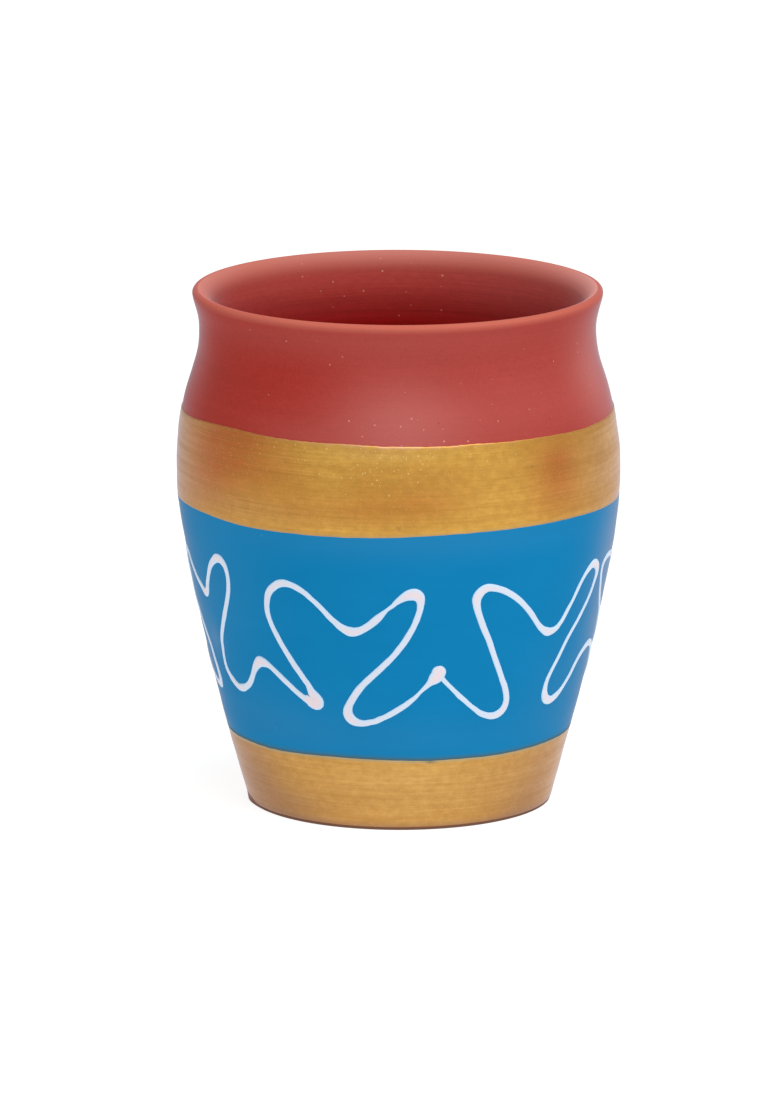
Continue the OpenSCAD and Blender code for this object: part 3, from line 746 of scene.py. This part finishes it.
# Each point is degrees from the front, height in millimetres, and width in millimetres
route = np.array([
    # Front, right of the middle, from inside the blob
    (11.8, 27.3, 0.85), (12.8, 26.55, 0.8), (13.8, 25.9, 0.78), (15.2, 25.1, 0.74), (16.9, 24.15, 0.8),
    (18.5, 23.25, 0.88), (20.2, 22.45, 0.82), (22, 21.55, 0.83), (23.8, 20.8, 0.87),
    (25.6, 20.05, 0.98), (27.4, 19.6, 1.1), (29.3, 19.3, 1.22), (31.1, 19.3, 1.4), (32.9, 19.7, 1.45),
    (34.1, 20.5, 1.35), (34.5, 21.55, 1.2), (34.2, 22.6, 1.15), (33, 24.4, 1.12), (32, 25.4, 1.03),
    (30.4, 27.25, 1.02), (28.8, 29.1, 1), (27.3, 30.95, 1.05), (25.9, 32.75, 1.05), (24.3, 34.55, 1.13),
    (22.9, 36.35, 1.18), (21.85, 37.95, 1.28), (21.4, 39, 1.42), (21.3, 40.05, 1.7), (21.9, 40.85, 1.8),
    (22.9, 41.45, 1.65), (24.3, 41.75, 1.45), (25.9, 41.65, 1.25), (28.7, 41.1, 1.15),
    (31.5, 40.2, 1.1), (34.2, 39.05, 1.05), (36.2, 38, 1), (39, 36.35, 1), (42.8, 33.85, 1.05),
    (44.7, 33, 1.25), (46.9, 32.45, 1.55), (48.8, 32.5, 1.25), (50.4, 32.85, 1.12), (51.5, 33.4, 0.97),
    (52.4, 33.95, 0.97), (54.1, 35.4, 0.96), (55.9, 36.95, 0.82), (57.4, 38.45, 0.87),
    (59.2, 39.95, 0.85), (61.7, 41.35, 1.15), (64.4, 42.1, 1.5), (66.5, 41.8, 1.65), (67.9, 40.9, 1.5),
    (68, 39.8, 1.15), (67.4, 38.95, 0.95), (66.4, 37.4, 0.9), (64.9, 35.9, 0.85), (62.9, 34.45, 0.85),
    (60.8, 33, 0.88), (58.6, 31.55, 0.83), (56.7, 30.1, 0.85), (55, 28.5, 0.85), (53.4, 26.95, 0.87),
    (51.8, 25.4, 0.87), (50.5, 23.8, 0.97), (50.15, 22.6, 1.15), (50.4, 21.5, 1.5), (51.6, 20.5, 1.65),
    (54, 20, 1.5), (56.6, 20.35, 1.33), (59, 21.1, 1.03), (61.2, 22.2, 0.9), (63.35, 23.35, 0.9),
    (65.6, 24.9, 0.98), (67.9, 26.15, 1.05), (71, 27.1, 1.2),
    # Right side
    (74.5, 27.5, 1.3), (78.5, 26.9, 1.15), (85.5, 23.6, 1.05), (90.2, 20.8, 1.1), (93.3, 20, 1.2),
    (94.6, 20.8, 1.15), (93.2, 22.9, 1.05), (86.8, 28.2, 1), (83.6, 30.2, 0.95), (81.1, 32.1, 0.9),
    (78.2, 33.8, 0.85), (76, 35.4, 0.85), (74.5, 36.8, 0.85), (73.2, 38.3, 0.85), (72.4, 39.8, 0.9),
    (72.9, 41.1, 1), (75.2, 41.85, 1.1), (78.6, 42, 1.15), (83, 41.6, 1.1), (88, 40.5, 1.05),
    (94.5, 37.3, 1.05), (99, 35.3, 1.35), (103.5, 36, 1), (107.5, 38, 0.75), (112.2, 40.4, 1),
    (115.8, 41.5, 1.45), (118.4, 40.6, 1.3), (117.9, 38.1, 1.1), (114.5, 34.5, 1.05), (108.5, 29.9, 1),
    (103, 25.9, 1.1), (99.9, 22.4, 1.25), (100.2, 20.1, 1.3), (103.6, 19.1, 1.2), (109, 19.8, 1.1),
    (117, 22.4, 1.05), (124.5, 25.8, 1.1),
    # Back, right of the middle
    (130.5, 27.5, 1.35), (135.5, 25.9, 1), (143, 22.7, 1.05), (148.4, 20.8, 1.15), (151.3, 20.5, 1.2),
    (152, 21.6, 1.1), (149.4, 24.9, 1), (144.5, 29.5, 1), (139.6, 34.5, 1), (137.3, 38.4, 1.15),
    (138.5, 40.8, 1.35), (142.5, 41.9, 1.25), (148, 40.8, 1.1), (155, 37.6, 1.05), (160.4, 34.9, 1.3),
    (163.6, 34.5, 1.3), (167.6, 36, 0.9), (172.5, 38.7, 0.8), (177.4, 41.3, 1.1), (180.8, 41.8, 1.5),
    (182.7, 40.2, 1.25), (181.2, 37, 1.05), (177, 32.9, 1), (170, 28, 1), (164.8, 23.9, 1.15),
    (163.2, 21, 1.3), (165, 19.3, 1.25), (169.6, 19.3, 1.1), (176.5, 21, 1.05), (184, 24.7, 1.05),
    # Back, left of the middle
    (192.3, 27.9, 1.35), (197, 26.3, 1), (204, 23.3, 1.05), (210.5, 20.8, 1.1), (214.6, 19.9, 1.2),
    (216.4, 20.9, 1.1), (215.2, 23.8, 1), (211.2, 28.4, 1), (206, 33.4, 1.05), (202.6, 37.6, 1.2),
    (203, 40.6, 1.4), (206.4, 41.9, 1.3), (211.8, 41.2, 1.15), (219, 38.3, 1.05), (225.2, 35.3, 1.2),
    (229.3, 34.2, 1.4), (233.2, 35.1, 1), (238, 37.4, 0.75), (243.2, 40.2, 1), (247.1, 41.8, 1.45),
    (249.8, 40.6, 1.3), (249.4, 38.1, 1.1), (245.5, 34.3, 1), (238.5, 29.3, 1), (232, 24.7, 1.15),
    (229.4, 21.7, 1.35), (231, 19.6, 1.3), (235.6, 19.1, 1.15), (242.5, 20.8, 1.05),
    (250.5, 24.5, 1.05),
    # Left side
    (259.5, 27.9, 1.35), (265.5, 26.3, 1), (274, 23.7, 1), (281, 21.5, 1.1), (285.6, 20.65, 1.3),
    (287.4, 20.75, 1.5), (288.1, 21.7, 1.4), (288, 23.2, 1.15), (287.3, 24.9, 1), (286.4, 26.7, 0.95),
    (284.9, 28.4, 0.95), (282.8, 30.3, 0.95), (280, 32.1, 0.95), (277, 34.4, 0.95), (274.8, 37.6, 1),
    (275.4, 40.9, 1.1), (278.2, 42.8, 1.1), (281, 42.3, 1), (283.6, 40.7, 0.95), (285.4, 39.6, 1),
    (287.5, 38.5, 1.05), (289.5, 37.8, 1.15), (291.2, 37.15, 1.35), (292.5, 36.8, 1.6),
    (293.9, 37.3, 1.35), (295.2, 38.75, 1.1), (296.6, 40, 0.95), (297.9, 41.15, 1.05),
    (299.2, 42.15, 1.1), (301.1, 43.15, 1.3), (303.4, 43.9, 1.6), (305, 43.85, 1.55), (306, 43.5, 1.45),
    (306.8, 43, 1.25), (307.2, 42.4, 1.1), (307.5, 41.4, 1), (307.4, 40.35, 1), (306.8, 38.95, 1.02),
    (305.9, 37.65, 1.05), (304.9, 36.5, 1.02), (303.7, 35.35, 1), (302.4, 34.15, 1.12),
    (301.1, 33, 1.05), (299.9, 31.85, 1), (298.5, 30.5, 0.95), (297.4, 29.15, 0.9), (297, 28.1, 0.85),
    (296.6, 27, 0.8), (296.45, 26, 0.8), (296.5, 25.05, 0.9), (296.9, 24.25, 1), (297.9, 23.5, 1.1),
    (299.1, 22.85, 1.3), (300.4, 22.35, 1.3), (302.5, 21.85, 1.35), (304.8, 21.95, 1.4),
    (306.9, 22.4, 1.15), (308.6, 23, 1.1), (309.9, 23.75, 1.1), (311, 24.55, 1.1), (312, 25.4, 1.12),
    (313.1, 26.25, 1.35), (314.3, 27, 1.7),
    # Front, left of the middle
    (315.6, 27.5, 1.95), (317, 27.5, 1.8), (318.4, 27.3, 1.32), (319.5, 27, 1.08), (321, 26.4, 1.05),
    (322.6, 25.7, 1.08), (324.2, 24.95, 1.08), (325.8, 24.25, 1.07), (327.4, 23.5, 1.02),
    (329, 22.85, 1.05), (330.5, 22.35, 1.3), (332, 22.15, 2.15), (333.1, 21.85, 2.4),
    (334.25, 21.55, 2.2), (334.95, 21.75, 2.1), (334.9, 22.15, 2.05), (334.35, 22.6, 2),
    (333.65, 23.1, 1.95), (333, 23.8, 1.45), (332.3, 24.8, 1.1), (331.2, 25.65, 1.12),
    (330.3, 26.45, 1.12), (329.3, 27.25, 1.12), (328.3, 28.05, 1.1), (327.45, 28.85, 1.08),
    (326.6, 29.65, 1.08), (325, 31.25, 1.05), (323.6, 32.85, 1.05), (322.9, 33.65, 1),
    (322.35, 34.45, 1), (321.9, 35.3, 0.98), (321.6, 36.1, 1.07), (321.5, 37, 1.08),
    (321.6, 37.85, 1.12), (321.9, 38.7, 1.2), (322.5, 39.7, 1.3), (323.55, 40.55, 1.3),
    (324.85, 41.2, 1.35), (326.3, 41.75, 1.35), (327.8, 42, 1.3), (329.1, 42, 1.2),
    (330.4, 41.85, 1.15), (331.8, 41.55, 1.13), (333.1, 41.15, 1.07), (334.35, 40.7, 0.98),
    (335.6, 40.05, 0.98), (337, 39.35, 0.94), (338.4, 38.55, 0.94), (339.7, 37.75, 0.97),
    (341, 36.9, 1.03), (342.45, 36.15, 1.08), (343.7, 35.5, 1.28), (345.1, 35, 1.5), (346.5, 34.7, 1.7),
    (347.9, 34.7, 1.55), (349.3, 34.95, 1.43), (350.7, 35.4, 1.28), (352.15, 36, 1.3),
    (353.5, 36.7, 1.32), (354.85, 37.45, 1.22), (356.1, 38.2, 0.8), (356.9, 38.65, 0.6),
    (357.65, 39, 0.68), (358.4, 39.35, 0.75), (359.2, 39.85, 0.92), (360.35, 40.4, 1.22),
    (361.65, 40.9, 1.58), (362.9, 41.2, 1.98), (364.3, 41.25, 2.15), (365.4, 40.75, 1.9),
    (365.8, 40.05, 1.43), (365.8, 39.25, 1.14), (365.65, 38.55, 1.07), (365.3, 37.8, 1.03),
    (364.85, 36.95, 1.06), (364.3, 36.1, 1), (363.65, 35.25, 1.05), (362.85, 34.4, 1.08),
    (362, 33.5, 1.08), (361.05, 32.65, 1.08), (359.95, 31.8, 1.07), (358.8, 30.9, 1.03),
    (357.5, 30.05, 1.05), (356.05, 29.2, 1.1), (354.5, 28.3, 1.12), (352.85, 27.4, 1.1),
    (351.2, 26.5, 1.15), (349.6, 25.6, 1.15), (348.2, 24.7, 1.22), (347.05, 23.8, 1.18),
    (345.95, 22.85, 1.22), (345, 21.95, 1.3), (344.4, 21.05, 1.58), (344.4, 20.2, 1.78),
    (345.2, 19.45, 1.8), (346.45, 19, 1.58), (347.9, 18.8, 1.25), (349.5, 18.8, 1.18),
    (351.1, 19, 1.05), (352.7, 19.2, 1.05), (354.2, 19.6, 1.06), (355.8, 20, 1), (357.3, 20.45, 1.04),
    (358.8, 20.95, 1.08), (360.35, 21.5, 1.04), (361.85, 22.05, 1), (363.3, 22.7, 0.93),
    (364.8, 23.4, 0.76), (366.3, 24.3, 0.6), (367.8, 25.15, 0.85), (368.95, 25.8, 1.2),
    (370.2, 26.5, 2.1), (371.25, 27.15, 2.4), (371.8, 28, 2.45), (372.25, 28.8, 2.3)
])
# The turns as read are a hair off, most at the left: degrees from the front, and how far
turn_shift = np.array([
    (0, -0.16), (30, -0.09), (60, 0), (90, 0), (270, -0.4), (307, -0.66), (333, -0.38), (360, -0.16),
    (390, -0.09)]).T
route[:, 0] += np.interp(route[:, 0], *turn_shift)


def smooth_route(points, step):
    """A curve through every point that heads from the one before to the one after, with knots
    spaced by the square roots of the distances, then walked in equal steps. Each stretch blends
    its four points pair by pair, then the three results, then the last two."""
    gaps = np.sqrt(np.linalg.norm(np.diff(points[:, :2], axis=0), axis=1))
    first, last = 2 * points[0] - points[1], 2 * points[-1] - points[-2]
    p = np.concatenate([[first], points, [last]])
    g = np.concatenate([gaps[:1], gaps, gaps[-1:]])
    share = np.linspace(0, 1, 24, endpoint=False)[None, :, None]
    a, b, c, d = (p[k:len(p) - 3 + k][:, None, :] for k in range(4))
    s1 = g[:-2][:, None, None]
    s2 = s1 + g[1:-1][:, None, None]
    s3 = s2 + g[2:][:, None, None]
    s = s1 + (s2 - s1) * share
    ab = (a * (s1 - s) + b * s) / s1
    bc = (b * (s2 - s) + c * (s - s1)) / (s2 - s1)
    cd = (c * (s3 - s) + d * (s - s2)) / (s3 - s2)
    abc = (ab * (s2 - s) + bc * s) / s2
    bcd = (bc * (s3 - s) + cd * (s - s1)) / (s3 - s1)
    curve = ((abc * (s2 - s) + bcd * (s - s1)) / (s2 - s1)).reshape(-1, points.shape[1])
    curve = np.concatenate([curve, points[-1:]])
    run = np.concatenate([[0], np.cumsum(np.linalg.norm(np.diff(curve[:, :2], axis=0), axis=1))])
    even = np.linspace(0, run[-1], int(run[-1] / step) + 1)
    return np.stack([np.interp(even, run, column) for column in curve.T], 1), even


# The wall's mean radius under the line, to lay the turns out as millimetres along the wall
route_r = 34
flat_route = np.stack([np.radians(route[:, 0]) * route_r, route[:, 1], route[:, 2]], 1)
path, run = smooth_route(flat_route, bead_step)
path_turn, path_z, path_w = path[:, 0] / route_r, path[:, 1], path[:, 2]
# The width wavers by a fortieth, as the hand shook
path_w = path_w * (1 + ring_noise(path[:, 0] * 0.55, 0, amount=0.025, seed=51, most_crests=7))


def bead_grid():
    """The line's skin: at each step along it, a low round section across the wall's own slope,
    which sinks a little along its middle. Where a bend or the next leg leaves less room, the
    section is cut off there at its full height, so that the two sides run together."""
    face = clay_r(path_turn, path_z) + blue_t - bead_sunk
    at = turned_point(path_turn, face, path_z) / mm
    along = np.gradient(at, axis=0)
    along /= np.linalg.norm(along, axis=1)[:, None]
    slope = (wall_r(path_z + 1) - wall_r(path_z - 1)) / 2
    normal = np.stack([np.sin(path_turn), -np.cos(path_turn), -slope], 1)
    normal /= np.linalg.norm(normal, axis=1)[:, None]
    side = np.cross(normal, along)
    side /= np.linalg.norm(side, axis=1)[:, None]
    lift = np.ones(len(at))
    half = path_w / 2

    # Round ends: the width closes over the last half width at either end, down to a small tip
    tip = 0.02
    for far, size in ((run + tip, half[0]), (run[-1] - run + tip, half[-1])):
        closing = np.sqrt(np.clip(1 - (1 - np.clip(far / size, 0, 1)) ** 2, 0, 1))
        half = half * closing
        lift = lift * closing ** 0.7

    # Room to each side: nearly the bend's own radius, and a little over half the way to another
    # leg within reach. The start lies inside the blob at the end, so over that run the two
    # stretches leave each other be.
    bend_share, way_share, overlap = 0.92, 0.52, 0.04
    leg_reach, free_way, blob_run = 3, 18.0, 6
    turn_rate = np.gradient(along, axis=0) / np.gradient(run)[:, None]
    bend = (turn_rate * side).sum(1)
    room = {way: bend_share / np.clip(bend * way, 0.1, None) for way in (1, -1)}
    for start in range(0, len(at), 256):
        part = slice(start, min(start + 256, len(at)))
        gap = at[None] - at[part][:, None]
        dist = np.linalg.norm(gap, axis=2)
        walk = np.abs(run[None] - run[part][:, None])
        lateral = (gap * side[part][:, None]).sum(2)
        other = (walk > 0.8) & (dist < 0.8 * walk) & (dist < leg_reach) & (np.abs(lateral) > 0.7 * dist)
        other &= walk < run[-1] - blob_run
        for way in room:
            beside = np.where(other & (lateral * way > 0), dist, free_way).min(1)
            room[way][part] = np.minimum(room[way][part], way_share * beside + overlap)
    for way in room:
        room[way] = np.convolve(np.pad(room[way], 1, mode="edge"), np.ones(3) / 3, mode="valid")

    # The section: points over its back, and three along its underside
    back_points = 15
    across = np.concatenate([np.linspace(-1, 1, back_points), [0.6, 0, -0.6]])
    is_back = np.arange(len(across)) < back_points
    right, left = np.minimum(half, room[1])[:, None], np.minimum(half, room[-1])[:, None]
    offset = across[None] * np.where(across[None] > 0, right, left)
    out_share = np.clip(np.abs(offset) / half[:, None], 0, 1)
    dip = dip_share * np.exp(-(out_share / dip_reach_share) ** 2)
    crown = (1 - out_share ** 2.6) ** 0.55 * (1 - dip)
    height = bead_t * lift[:, None] * crown * np.clip(0.55 + 0.45 * half / full_half, 0, 1.25)[:, None]
    height = np.where(is_back[None], np.maximum(height, 0.0), -bead_under)
    # The wall curves away from the section's flat
    wall_curve_r = 35.0
    rise = height - offset ** 2 / (2 * wall_curve_r)
    points = at[:, None] + side[:, None] * offset[..., None] + normal[:, None] * rise[..., None]
    return points * mm, half[:, None] - np.abs(offset)


bead, from_edge = bead_grid()
white = sheet_mesh("white_line", bead, start_pole=True, end_pole=True, attributes={
    # Thin paint: one at the line's edges, and none further in than three quarters of a millimetre
    "thin": ramp(from_edge, 0.75, 0.15),
})
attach(white, "root")
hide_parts("white_trail")


def white_line():
    """Thick white paint: warm in the middle, and thin enough at its edges for the blue to cool it."""
    material, tree, shader = new_material("white_line")
    patches = grouped(tree, clouds, Density=420.0, Contrast=1.6)
    paint = blended(tree, patches, (0.86, 0.71, 0.74, 1), (0.82, 0.75, 0.80, 1))
    give(tree, shader, Roughness=0.5, Specular_IOR_Level=0.2,
         Base_Color=blended(tree, told(tree, "thin"), paint, (0.61, 0.79, 0.97, 1)),
         Normal=relieved(tree, patches, depth=0.03 * mm, strength=0.4))
    return material


white.data.materials.append(white_line())

# The floor, the light and the camera
# A white table in a light tent: soft light from all round, a large soft box above the front
# right, and the camera a little above the cup, as in the photograph.
table_half = 8
corners = [(x * table_half, y * table_half, 0) for x, y in ((-1, -1), (1, -1), (1, 1), (-1, 1))]
floor_mesh = bpy.data.meshes.new("floor")
floor_mesh.from_pydata(corners, [], [(0, 1, 2, 3)])
floor = bpy.data.objects.new("floor", floor_mesh)
bpy.context.collection.objects.link(floor)
floor_material, floor_tree, floor_shader = new_material("white_table")
give(floor_tree, floor_shader, Base_Color=(0.3, 0.3, 0.3, 1), Roughness=0.9, Specular_IOR_Level=0.0,
     Emission_Color=(1, 1, 1, 1), Emission_Strength=0.85)
floor_mesh.materials.append(floor_material)

world = bpy.data.worlds.new("light_tent")
bpy.context.scene.world = world
world.use_nodes = True
give(world.node_tree, world.node_tree.nodes["Background"], Color=(1, 1, 1, 1), Strength=0.45)
cup_middle = cup_h * mm / 2


def soft_box(name, at, size, power):
    """A square area light that looks at the middle of the cup."""
    data = bpy.data.lights.new(name, "AREA")
    data.size = size
    data.energy = power
    lamp = bpy.data.objects.new(name, data)
    lamp.location = at
    lamp.rotation_euler = (Vector((0, 0, cup_middle)) - Vector(at)).to_track_quat("-Z", "Y").to_euler()
    bpy.context.collection.objects.link(lamp)


soft_box("top_box", at=(0.25, -0.35, 1.05), size=1.0, power=10.5)

# The camera looks down a little at the cup's middle. The photograph's size, the pixel where the
# cup's axis and middle lie, and its pixels per millimetre give the lens and the shift.
elevation = np.radians(12.24)
distance = 1.738
image_w, image_h = 780, 1108
axis_x, middle_y = 398.5, 541.47
scale_px = 6.104 / mm
sensor = 36.0
camera_data = bpy.data.cameras.new("camera")
camera_data.sensor_width = sensor
camera_data.sensor_fit = "AUTO"
camera_data.lens = scale_px * distance / image_h * sensor
camera_data.shift_x = (image_w / 2 - axis_x) / image_h
camera_data.shift_y = (middle_y - image_h / 2) / image_h
camera_data.clip_end = 50
camera = bpy.data.objects.new("camera", camera_data)
camera.location = (0, -distance * np.cos(elevation), cup_middle + distance * np.sin(elevation))
camera.rotation_euler = (np.pi / 2 - elevation, 0, 0)
bpy.context.collection.objects.link(camera)
bpy.context.scene.camera = camera
bpy.context.scene.view_settings.view_transform = "Standard"
